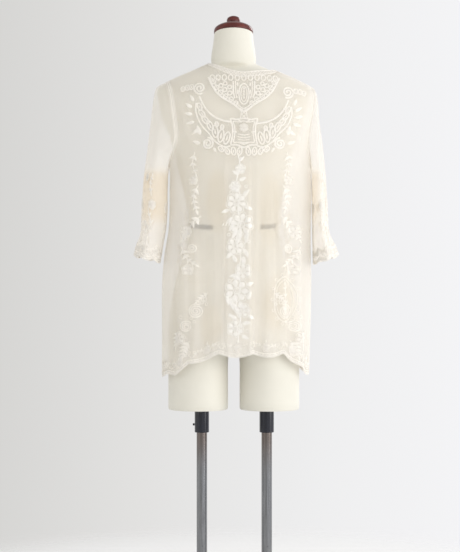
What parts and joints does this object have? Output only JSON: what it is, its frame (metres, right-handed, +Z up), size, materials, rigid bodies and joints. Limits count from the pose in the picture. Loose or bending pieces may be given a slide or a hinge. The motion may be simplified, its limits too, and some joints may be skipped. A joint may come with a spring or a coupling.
{
  "type": "embroidered mesh gown on a dress form",
  "caption": "Sheer open-front gown of embroidered mesh with elbow sleeves and scalloped hem, hanging on a smooth dress form with thigh stubs, poles and a flat base.",
  "frame": {"origin": "on the underside of the base plate, straight under the middle of the form's shoulders", "axes": "+Z up, +Y the way the form faces, +X to the form's right as the picture sees its back"},
  "size_m": [0.536, 0.32, 1.5149],
  "materials": {
    "embroidered_tulle": "sheer ivory tulle with tonal cord embroidery",
    "raised_embroidery": "raised ivory cord embroidery",
    "form_cover": "smooth cream cover",
    "waist_tape": "flat woven tape",
    "stained_wood": "dark red stain under satin lacquer",
    "brushed_pole": "satin tube",
    "black_collar": "gloss black",
    "base_steel": "satin plate"
  },
  "bodies": {
    "root": {"back": "embroidered_tulle", "front_left": "embroidered_tulle", "front_right": "embroidered_tulle", "sleeve_left": "embroidered_tulle", "sleeve_right": "embroidered_tulle", "yoke_collar": "raised_embroidery", "yoke_bib": "raised_embroidery", "form": "form_cover", "waist_tape": "waist_tape", "neck_cap": "stained_wood", "knob": "stained_wood", "plate_left": "base_steel", "plate_right": "base_steel", "collar_left": "black_collar", "collar_right": "black_collar", "screw_left": "black_collar", "screw_right": "black_collar", "pole_left": "brushed_pole", "pole_right": "brushed_pole", "pin_left": "brushed_pole", "pin_right": "brushed_pole", "socket_left": "black_collar", "socket_right": "black_collar", "base": "base_steel"}
  },
  "joints": []
}
